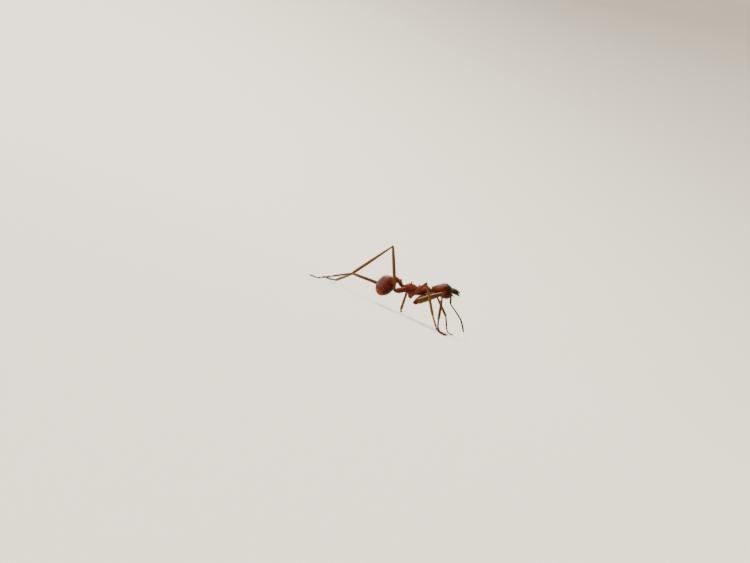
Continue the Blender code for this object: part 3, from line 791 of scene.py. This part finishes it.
TOOTH_SHAPE = ((0.05, 0.36), (0.5, 0.24), (0.9, 0.07))
jaw_dark = cuticle(
    "jaw_dark", ((36, 28, 4), (24, 18, 2), (16, 12, 2), (9, 6, 2)), 0.34, cell=0.045, net=0.3, gloss=0.05,
)
mouth_brown = cuticle("mouth_brown", ((66, 38, 15), (46, 24, 8), (26, 12, 5)), 0.50)
tooth = template("tooth", limb_rings(((-0.4, 0, 0), (1, 0, 0)), TOOTH_SHAPE, 10, 10), 0.9)
share = np.linspace(0, 1, JAW_TEETH)
for name, side in BOTH_SIDES:
    grid = jaw_rings()
    tone = 0.25 + 0.5 * grid[..., 0] / 1.6 + 0.6 * np.clip(grid[..., 1] / 0.3, 0, 1)
    blade = skin(jaw_place(grid, side), tone)
    jaw = piece(f"jaw_{name}", [blade], [jaw_dark], [f"mandible_{name}"])
    x = np.linspace(SAW_FROM, SAW_TO, JAW_TEETH)
    edge = through([(a, inner - 0.02) for a, _, inner, _ in JAW_SHAPE], x)[:, 0]
    places = jaw_place(np.stack([x, edge, jaw_bow(x)], -1), side)
    zero = jaw_place((0, 0, 0), side)
    facings = jaw_place([(0.25 + 0.9 * t, 1.0, 0) for t in share**3], side) - zero
    tops = jaw_place((0, 0, 1), side) - zero
    length = JAW_TOOTH[0] + (JAW_TOOTH[1] - JAW_TOOTH[0]) * share**1.5
    length[:-1:2] *= SMALL_TOOTH  # every second one
    thick = 0.6 * length + 0.03
    sizes = np.stack([length, thick, thick], -1)
    joined(jaw, copies(f"saw_{name}", tooth, jaw_dark, places, facings, tops, sizes))
bpy.data.objects.remove(tooth, do_unlink=True)

MOUTH_LOBES = (  # (centre, radii) in the head's frame, on the left side or the middle line
    ((1.20, 0.0, -0.08), (0.17, 0.26, 0.10)),
    ((1.10, 0.17, -0.40), (0.34, 0.15, 0.13)),
    ((1.18, 0.0, -0.46), (0.34, 0.14, 0.12)),
)
PALPS = (
    ((1.30, 0.26, -0.44), (1.46, 0.33, -0.50), (1.58, 0.33, -0.60), (1.62, 0.31, -0.72)),
    ((1.42, 0.10, -0.50), (1.55, 0.12, -0.56), (1.63, 0.12, -0.64)),
)
PALP_SHAPE = (
    (0.04, 0.026), (0.30, 0.034), (0.34, 0.022), (0.38, 0.032), (0.64, 0.034), (0.68, 0.021), (0.72, 0.030),
    (0.95, 0.024),
)
skins = []
for centre, radii in MOUTH_LOBES:
    for _, side in BOTH_SIDES[: 1 if centre[1] == 0 else 2]:
        skins.append(skin(on_head(bean(centre, radii, 28, 20), side), 0.45, hairy=0.8))
for line in PALPS:
    for _, side in BOTH_SIDES:
        grid = limb_rings(rounded(mirrored(line, side)), PALP_SHAPE, 12, 40)
        skins.append(skin(on_head(grid), 0.3, hairy=0.8))
piece("mouth_lobes", skins, [mouth_brown])

# ---------------- Feelers
# Each feeler turns in a socket under the head's front lobes: one long scape to the elbow, then ten short links
# that thicken towards the rounded last one. All are thin tubes of dull brown cuticle.

FEELERS = {  # scape points after the socket, in the ant's frame, then the funiculus points to the tip
    "right": (
        ((3.14, -1.20, 5.20), (3.34, -1.42, 4.62), (3.73, -1.60, 3.52)),
        ((4.90, -1.80, 2.80), (5.59, -1.90, 2.33), (6.14, -1.90, 1.61), (6.42, -1.90, 1.16)),
    ),
    "left": (
        ((3.30, 1.20, 5.22), (3.53, 1.42, 4.63), (3.97, 1.60, 3.49)),
        ((5.20, 1.80, 2.75), (5.94, 1.90, 2.27), (6.50, 1.90, 1.52), (6.79, 1.90, 1.06)),
    ),
}
SCAPE_SHAPE = (
    (0.012, 0.085), (0.035, 0.050), (0.07, 0.048), (0.13, 0.082), (0.55, 0.100), (0.90, 0.118), (0.975, 0.105),
)
SCAPE_ROOT = ((0.84, 0.40, 0.48), (0.98, 0.72, 0.52))  # from the socket on, in the head's frame
LINK_SHAPE = ((0.02, 0.55), (0.10, 0.70), (0.45, 0.92), (0.82, 1.00), (0.96, 0.82))
LAST_LINK_SHAPE = ((0.02, 0.55), (0.10, 0.72), (0.40, 0.95), (0.70, 0.78), (0.95, 0.34))
LINKS, LINK_EASE = 10, 0.97  # below 1, so that the links shorten a little towards the tip
LINK_THICKNESS = (0.092, 0.122)
LINK_START, LINK_END, TIP_END = (-0.54, 0, 0), (0.54, 0, 0), (0.70, 0, 0)  # past 0.5, where links overlap

feeler_brown = cuticle("feeler_brown", ((48, 33, 8), (34, 22, 4), (23, 14, 2), (14, 8, 1)), 0.46, mottle=0.25)
link = template("link", limb_rings((LINK_START, LINK_END), LINK_SHAPE, 16, 18), 0.5)
end_link = template("end_link", limb_rings((LINK_START, TIP_END), LAST_LINK_SHAPE, 16, 24), 0.35)
for name, side in BOTH_SIDES:
    scape_points, funiculus_points = FEELERS[name]
    line = rounded([*(on_head(p, side) for p in SCAPE_ROOT), *scape_points])
    scape = skin(limb_rings(line, SCAPE_SHAPE, 20, 90), 0.45)
    feeler = piece(f"feeler_{name}", [scape], [feeler_brown], [f"scape_{name}", f"funiculus_{name}"])
    line = rounded([scape_points[-1], *funiculus_points])
    joints = places_along(line, np.linspace(0, 1, LINKS + 1) ** LINK_EASE)
    middles, ways = (joints[1:] + joints[:-1]) / 2, np.diff(joints, axis=0)
    length = np.linalg.norm(ways, axis=1)
    thick = np.linspace(*LINK_THICKNESS, LINKS)
    sizes = np.stack([length, thick, thick], -1)
    for part, shape, rows in (("links", link, slice(None, -1)), ("tip", end_link, slice(-1, None))):
        made = copies(f"{part}_{name}", shape, feeler_brown, middles[rows], ways[rows], (0, 1, 0), sizes[rows])
        joined(feeler, made)
for shape in (link, end_link):
    bpy.data.objects.remove(shape, do_unlink=True)

# ---------------- Legs
# Six long legs in the stride of the walk, each of a stout coxa in the trunk's side, a short trochanter, the
# thigh and the shin: thin tubes of red-brown cuticle with a dark, rounded joint where one turns in the next.

SOLE = 0.085  # the middle line of a foot above the floor
LEGS = {  # coxa, hip, knee, ankle, bend of the foot, toe, and half the thickness of the thigh and the shin
    "fore_right": (
        (0.72, -0.34, 3.36), (-0.14, -0.86, 1.96), (2.38, -2.00, 4.28),
        (3.14, -2.50, 1.27), (3.52, -2.78, SOLE), (4.60, -3.25, SOLE), 0.38, 0.165,
    ),
    "fore_left": (
        (0.72, 0.34, 3.36), (0.02, 0.90, 2.28), (1.75, 3.60, 4.08),
        (4.24, 4.30, 1.90), (5.25, 4.68, SOLE), (5.90, 4.95, SOLE), 0.34, 0.165,
    ),
    "mid_right": (
        (-0.86, -0.34, 2.92), (-0.88, -0.84, 2.26), (0.06, -3.60, 4.64),
        (2.16, -5.10, 1.52), (3.33, -5.95, SOLE), (4.22, -6.50, SOLE), 0.205, 0.165,
    ),
    "mid_left": (
        (-0.86, 0.34, 2.92), (-0.98, 0.84, 2.30), (-1.45, 3.90, 3.77),
        (-1.08, 5.60, 0.34), (-0.95, 6.90, SOLE), (-0.80, 8.40, SOLE), 0.205, 0.165,
    ),
    "hind_right": (
        (-1.76, -0.36, 2.90), (-2.85, -0.84, 2.25), (-5.21, -3.40, 6.95),
        (-8.20, -4.30, 2.20), (-11.60, -4.92, SOLE), (-12.45, -5.07, SOLE), 0.215, 0.185,
    ),
    "hind_left": (
        (-1.76, 0.36, 2.90), (-2.60, 0.94, 2.36), (-8.28, 3.00, 2.04),
        (-10.05, 7.20, 0.34), (-11.05, 9.00, SOLE), (-11.75, 10.40, SOLE), 0.215, 0.185,
    ),
}
TROCHANTER_LENGTH = 0.36
COXA_SHAPE = ((0.04, 0.21), (0.30, 0.29), (0.60, 0.29), (0.86, 0.24), (0.97, 0.17))
TROCHANTER_SHAPE = ((0.06, 0.50), (0.30, 0.80), (0.70, 0.84), (0.92, 0.60))
THIGH_SHAPES = {  # the sizes here and in the trochanter are shares of the thigh's half thickness
    "fore": ((0.004, 0.60), (0.03, 0.86), (0.10, 1.0), (0.34, 1.0), (0.60, 0.90), (0.86, 0.66), (0.97, 0.48)),
    "mid": ((0.008, 0.46), (0.04, 0.66), (0.14, 0.86), (0.34, 1.0), (0.58, 0.92), (0.84, 0.70), (0.97, 0.58)),
    "hind": ((0.006, 0.50), (0.03, 0.72), (0.12, 0.92), (0.40, 1.0), (0.70, 0.94), (0.90, 0.82), (0.98, 0.66)),
}
LEG_FINISHES = {  # coxa's size; thigh's material, tones and painted shading to the knee, painted highlight line; shin's tone
    "fore": (1.0, 0, (0.62, 0.80), (0.62, 0.25), 0.75, 0.57),
    "mid": (0.9, 2, (0.58, 0.42), (0.30, 0.30), 0.20, 0.44),
    "hind": (1.22, 0, (0.74, 0.42), (0.30, 0.30), 0.15, 0.42),
}
SHIN_SHAPE = (
    (0.008, 0.50), (0.03, 0.70), (0.07, 0.56), (0.22, 0.74), (0.55, 1.0), (0.86, 1.04), (0.965, 0.92),
    (0.992, 0.70),
)
JOINT_RADII = (0.115, 0.10, 0.12, 0.085)  # at the knee, the trochanter's end, the hip and the ankle
PLAIN_SHADING = (0.30, 0.30)
THIGH_ARCH, LEG_FLATNESS = 0.04, 0.92
HIGHLIGHT_LEAN = 0.5  # how far out from straight up the thigh's painted highlight line runs
HIGHLIGHT_FROM, HIGHLIGHT_FADE, HIGHLIGHT_STRENGTH = 0.91, 0.06, (1.0, 0.6)  # how narrow the painted highlight is, and how strong

# The bloom colour of leg_red is the pale pink of the painted highlight along the thighs.
leg_red = cuticle(
    "leg_red", ((99, 80, 34), (77, 53, 19), (55, 26, 8), (28, 11, 4)), 0.34, mottle=0.3, bloom=(186, 142, 114),
)
joint_dark = cuticle("joint_dark", ((58, 38, 10), (38, 22, 6), (20, 10, 4)), 0.34, mottle=0.2)


def beyond(a, b, reach):
    """The point a little past b on the line from a."""
    a, b = np.array(a), np.array(b)
    return b + unit(b - a) * reach


for name, (coxa, hip, knee, ankle, _, _, thigh, shin) in LEGS.items():
    hip, knee, ankle = np.array(hip), np.array(knee), np.array(ankle)
    start = beyond(knee, hip, -TROCHANTER_LENGTH)
    plane = unit(np.cross(knee - hip, ankle - knee))
    kind, side = name.split("_")
    coxa_size, finish, thigh_tones, shading, painted_highlight, shin_tone = LEG_FINISHES[kind]
    highlight_facing = np.array((0, HIGHLIGHT_LEAN if side == "left" else -HIGHLIGHT_LEAN, 1.0))
    highlight_facing -= unit(knee - hip) * (unit(knee - hip) @ highlight_facing)
    arch = (start + knee) / 2 + (0, 0, THIGH_ARCH)
    thigh_line = rounded((beyond(knee, start, 0.03), arch, beyond(start, knee, 0.05)), 1.0)
    shin_line = rounded((beyond(ankle, knee, 0.05), (knee + ankle) / 2, beyond(knee, ankle, 0.04)), 1.0)
    root_line = (beyond(coxa, hip, -0.08), hip, beyond(hip, start, 0.04))
    parts = (  # (middle line, shape, points around, rings, tones, material, painted shading, painted highlight)
        (rounded((coxa, hip)), scaled(COXA_SHAPE, coxa_size), 20, 34, (0.46, 0.54), 2, PLAIN_SHADING, 0),
        (root_line, scaled(TROCHANTER_SHAPE, thigh), 18, 24, (0.60, 0.60), 2, PLAIN_SHADING, 0),
        (thigh_line, scaled(THIGH_SHAPES[kind], thigh), 40, 64, thigh_tones, finish, shading, painted_highlight),
        (shin_line, scaled(SHIN_SHAPE, shin), 18, 64, (shin_tone, shin_tone), 0, PLAIN_SHADING, 0),
    )
    skins = []
    for k, (line, shape, around, along, tones, finish, shading, painted_highlight) in enumerate(parts):
        grid = limb_rings(line, shape, around, along, flat=LEG_FLATNESS, up=plane)
        facing = outward(grid)
        # Painted light: each part's underside lighter and its top darker by which way it faces, and a pale
        # painted highlight along the thigh's upper edge.
        tone = graded(grid, tones) + graded(grid, shading) * np.clip(facing[..., 2], -1, 0.3)
        pale = np.clip((facing @ unit(highlight_facing) - HIGHLIGHT_FROM) / HIGHLIGHT_FADE, 0, 1) * graded(grid, HIGHLIGHT_STRENGTH)
        skins.append(skin(grid, tone, finish, tile=(k, 5), bloom=painted_highlight * pale))
    for centre, radius in zip((knee, start, hip, ankle), JOINT_RADII):
        skins.append(skin(bean((0, 0, 0), (radius,) * 3, 18, 12) + centre, 0.5, 1, tile=(4, 5), hairy=0.0))
    nodes = [f"{part}_{name}" for part in ("coxa", "trochanter", "femur", "tibia")]
    piece(f"leg_{name}", skins, [leg_red, joint_dark, thorax_red], nodes)

# ---------------- Feet
# Each foot is a chain of five links, the first as long as the rest together, laid along the floor from the
# bend on and flat below. Two hooked claws and a small soft pad end it, and a comb spur sits at its root.

FOOT_SHAPE = (  # five links, each a little wider at its far end
    (0.008, 0.080), (0.04, 0.094), (0.30, 0.104), (0.455, 0.112), (0.475, 0.078), (0.49, 0.068),
    (0.60, 0.104), (0.615, 0.072), (0.63, 0.064), (0.71, 0.100), (0.722, 0.070), (0.735, 0.062),
    (0.80, 0.098), (0.812, 0.066), (0.825, 0.058), (0.96, 0.092), (0.99, 0.070),
)
CLAW_SHAPE = ((0.03, 0.034), (0.3, 0.030), (0.7, 0.018), (0.95, 0.007))
CLAW_REACH, CLAW_SPREAD, CLAW_RISE = 0.20, 0.12, 0.10
PAD_RADII = (0.07, 0.055, 0.045)
SPUR_SHAPE = ((0.05, 0.030), (0.4, 0.026), (0.95, 0.008))
SPUR_LENGTHS = {"fore": 0.34, "mid": 0.204, "hind": 0.204}

foot_brown = cuticle("foot_brown", ((84, 56, 22), (64, 38, 12), (46, 24, 7), (24, 11, 4)), 0.40, mottle=0.25)
for name, (_, _, _, *joints, _, _) in LEGS.items():
    ankle, heel, toe = np.array(joints)
    line = rounded((beyond(heel, ankle, 0.03), heel, toe), 0.55)
    grid = limb_rings(line, FOOT_SHAPE, 16, 150)
    grid[..., 2] = np.maximum(grid[..., 2], 0.0)
    skins = [skin(grid, 0.45, hairy=outward(grid)[..., 2] > 0.1)]  # no hairs below, where the foot rests
    ahead = (toe - heel) * (1, 1, 0) / np.linalg.norm((toe - heel)[:2])
    for way in (1, -1):
        aside = np.array((-ahead[1], ahead[0], 0)) * way * CLAW_SPREAD
        tip = (toe + ahead * CLAW_REACH + aside) * (1, 1, 0) + (0, 0, 0.012)
        bend = toe + ahead * CLAW_REACH * 0.8 + aside * 0.8 + (0, 0, CLAW_RISE)
        claw = rounded((toe - ahead * 0.04 + (0, 0, 0.01), bend, tip), 0.9)
        skins.append(skin(limb_rings(claw, CLAW_SHAPE, 10, 20), 0.95, hairy=0.0))
    pad = bean((0, 0, 0), PAD_RADII, 16, 12) + toe + ahead * 0.05 - (0, 0, 0.03)
    skins.append(skin(pad, 0.2, hairy=0.0))
    down = unit(heel - ankle) * SPUR_LENGTHS[name.split("_")[0]]
    off = unit(np.cross(down, (0, 0, 1.0)))
    spur = rounded((ankle + off * 0.05, ankle + off * 0.16 + down / 2, ankle + off * 0.06 + down), 0.9)
    skins.append(skin(limb_rings(spur, SPUR_SHAPE, 10, 20), 0.3, hairy=0.0))
    piece(f"foot_{name}", skins, [foot_brown], [f"tarsus_{name}"])

# ---------------- Hairs
# Sparse, stiff golden bristles stand on the head, the trunk and the gaster, and short fine ones lie along the
# legs, feet and feelers. Each is a thin bent cone that grows out of the cuticle and leans the way its part
# runs.

HAIR_SIDES, HAIR_STEPS, HAIR_TIP = 4, 4, 0.08
WILDNESS = 0.22  # how far each hair strays from the lie
SHORTEST, LONGEST = 0.6, 1.1  # shares of the full length
PATCH_SIZE = 0.003
hair_tree, given, add, end_with = tree_with(
    "bristles", Density=("Float", 10.0), Length=("Float", 0.2), Thickness=("Float", 0.01), Lean=("Float", 0.6),
    Curl=("Float", 0.3), Seed=("Int", 1),
)


def maths(operation, a, b):
    return add("ShaderNodeMath", {"operation": operation}, _0=a, _1=b).outputs[0]


def plus(a, b):
    return add("ShaderNodeVectorMath", {"operation": "ADD"}, _0=a, _1=b).outputs["Vector"]


def times(a, scale):
    return add("ShaderNodeVectorMath", {"operation": "SCALE"}, _0=a, Scale=scale).outputs["Vector"]


cone = add("GeometryNodeMeshCone", Vertices=HAIR_SIDES, Side_Segments=HAIR_STEPS, Radius_Top=HAIR_TIP,
           Radius_Bottom=1.0, Depth=1.0)
spot = add("ShaderNodeSeparateXYZ", Vector=add("GeometryNodeInputPosition").outputs[0]).outputs
patch = add("ShaderNodeCombineXYZ", X=maths("MULTIPLY_ADD", spot["X"], 0.5), Y=spot["Z"])
marked = add("GeometryNodeStoreNamedAttribute", {"data_type": "FLOAT_VECTOR", "domain": "POINT"},
             Geometry=cone.outputs["Mesh"], Name="patch", Value=patch.outputs[0])
hairy, lie = attribute("FLOAT", "hairy"), attribute("FLOAT_VECTOR", "lie")
roots = add("GeometryNodeDistributePointsOnFaces", Mesh=given["Geometry"], Seed=given["Seed"],
            Density=maths("MULTIPLY", given["Density"], hairy))
wild = add("FunctionNodeRandomValue", {"data_type": "FLOAT_VECTOR"}, _0=(-WILDNESS,) * 3, _1=(WILDNESS,) * 3,
           Seed=given["Seed"])
aim = plus(plus(roots.outputs["Normal"], times(lie, given["Lean"])), wild.outputs[0])
turned = add("FunctionNodeAxesToRotation", {"primary_axis": "Z", "secondary_axis": "X"}, Primary_Axis=aim,
             Secondary_Axis=lie)
share = add("FunctionNodeRandomValue", {"data_type": "FLOAT"}, _2=SHORTEST, _3=LONGEST, Seed=given["Seed"])
full = maths("MULTIPLY", maths("MULTIPLY", given["Length"], hairy), MM)
wide = maths("MULTIPLY", given["Thickness"], MM)
size = add("ShaderNodeCombineXYZ", X=wide, Y=wide, Z=maths("MULTIPLY", full, share.outputs[1]))
placed = add("GeometryNodeInstanceOnPoints", Points=roots.outputs["Points"], Instance=marked.outputs[0],
             Rotation=turned.outputs[0], Scale=size.outputs[0])
real = add("GeometryNodeRealizeInstances", Geometry=placed.outputs[0])
mark = attribute("FLOAT_VECTOR", "patch")
height = add("ShaderNodeSeparateXYZ", Vector=mark).outputs["Y"]
bend = maths("MULTIPLY", maths("MULTIPLY", given["Length"], given["Curl"]), maths("MULTIPLY", hairy, MM))
bent = add("GeometryNodeSetPosition", Geometry=real.outputs[0],
           Offset=times(lie, maths("MULTIPLY", maths("POWER", height, 2.0), bend)))
root = plus(attribute("FLOAT_VECTOR", "lay"), times(mark, PATCH_SIZE))
laid = add("GeometryNodeStoreNamedAttribute", {"data_type": "FLOAT2", "domain": "CORNER"},
           Geometry=bent.outputs[0], Name="OFBake", Value=root)
end_with(laid)

hair_gold = cuticle("hair_gold", ((142, 104, 60), (104, 68, 34)), 0.45, cell=0.02, net=0.0, mottle=0.4)
HAIRS = (  # (pieces, bristles on a square mm, length, half thickness, lean, curl)
    (("head_capsule",), 22, 0.20, 0.0055, 0.8, 0.35),
    (("thorax_plates",), 20, 0.22, 0.0055, 0.7, 0.3),
    (("petiole_knot", "postpetiole_knot"), 34, 0.16, 0.005, 0.9, 0.3),
    (("gaster_plates",), 30, 0.23, 0.006, 1.0, 0.35),
    (("mouth_lobes", "jaw_left", "jaw_right"), 44, 0.10, 0.004, 0.9, 0.3),
    (("feeler_left", "feeler_right"), 130, 0.055, 0.0035, 1.3, 0.2),
    *(((f"leg_{name}",), 70, 0.12, 0.004, 1.4, 0.2) for name in LEGS),
    *(((f"foot_{name}",), 150, 0.09, 0.0045, 1.5, 0.15) for name in LEGS),
)
for seed, (sources, density, length, thick, lean, curl) in enumerate(HAIRS):
    for source in sources:
        coat = grown(
            f"hairs_{source}", bpy.data.objects[source].data, hair_tree, Density=density / MM**2, Length=length,
            Thickness=thick, Lean=lean, Curl=curl, Seed=seed, Material=hair_gold,
        )
        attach(coat, "root")

# ---------------- Floor, light and camera
# A plain pale floor that sweeps up into a wall all round, a broad soft light from above on the left with a
# weaker one on the right, and the low, rolled viewpoint of someone level with the ant on its slope.

FLOOR_RADIUS, SWEEP_RADIUS, WALL_TOP = 0.08, 0.48, 0.75  # metres
FLOOR_SIDES, SWEEP_STEPS = 128, 16
pale = bpy.data.materials.new("pale_floor")
pale.use_nodes = True
fill(pale.node_tree.nodes["Principled BSDF"], Base_Color=(*linear(214, 208, 196), 1), Roughness=0.9)
sweep = np.linspace(0, math.pi / 2, SWEEP_STEPS)
profile = [(FLOOR_RADIUS + SWEEP_RADIUS * math.sin(a), SWEEP_RADIUS * (1 - math.cos(a))) for a in sweep]
profile = [(0.001, 0.0), *profile, (FLOOR_RADIUS + SWEEP_RADIUS, WALL_TOP)]
points = [(r * math.cos(a), r * math.sin(a), z) for r, z in profile for a in circle(FLOOR_SIDES)]
rows = np.arange(len(points)).reshape(len(profile), FLOOR_SIDES)
ahead = np.roll(rows, -1, 1)
faces = np.stack([rows[:-1], ahead[:-1], ahead[1:], rows[1:]], -1).reshape(-1, 4).tolist()
mesh = bpy.data.meshes.new("floor")
mesh.from_pydata(points, [], [rows[0, ::-1].tolist(), *faces])
mesh.materials.append(pale)
mesh.shade_smooth()
floor = linked("floor", mesh)
floor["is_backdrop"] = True

world = bpy.data.worlds.new("soft_daylight")
world.use_nodes = True
fill(world.node_tree.nodes["Background"], Color=(*linear(236, 240, 242), 1), Strength=0.35)
bpy.context.scene.world = world

LIT_SPOT = (0, 0, 0.003)
LIGHTS = (  # (name, place, size, watts, colour)
    ("key", (-0.18, -0.14, 0.38), 0.14, 3.4, (255, 248, 238)),
    ("fill", (0.26, -0.20, 0.16), 0.24, 0.35, (238, 244, 255)),
    ("rim", (-0.08, 0.22, 0.32), 0.18, 2.6, (250, 248, 240)),
)
for name, place, size, watts, colour in LIGHTS:
    lamp = bpy.data.lights.new(name, "AREA")
    lamp.size, lamp.energy, lamp.color = size, watts, linear(*colour)
    holder = linked(name, lamp)
    holder.location = place
    holder.rotation_euler = (Vector(LIT_SPOT) - Vector(place)).to_track_quat("-Z", "Y").to_euler()

CAMERA_LENS, SENSOR_WIDTH = 50, 36
CAMERA_REACH = 0.124  # metres
CAMERA_DIP, CAMERA_ROLL = 1.0, 24.0
CAMERA_TARGET = (-5.45, 0.0, 2.313)
dip, roll = math.radians(CAMERA_DIP), math.radians(CAMERA_ROLL)
ahead = Vector((0, math.cos(dip), -math.sin(dip)))
level_up = Vector((0, math.sin(dip), math.cos(dip)))
right = Vector((1, 0, 0)) * math.cos(roll) + level_up * math.sin(roll)
upward = level_up * math.cos(roll) - Vector((1, 0, 0)) * math.sin(roll)
lens = bpy.data.cameras.new("camera")
lens.lens, lens.sensor_width = CAMERA_LENS, SENSOR_WIDTH
lens.clip_start, lens.clip_end = 0.001, 5
camera = linked("camera", lens)
place = Vector((np.array(CAMERA_TARGET) + ANT_TO_PART) * MM) - ahead * CAMERA_REACH
camera.matrix_world = Matrix.Translation(place) @ Matrix((right, upward, -ahead)).transposed().to_4x4()
bpy.context.scene.camera = camera

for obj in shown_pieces():
    if obj.type == "MESH":
        forget(obj.data, "lie", "hairy", "patch", "lay")
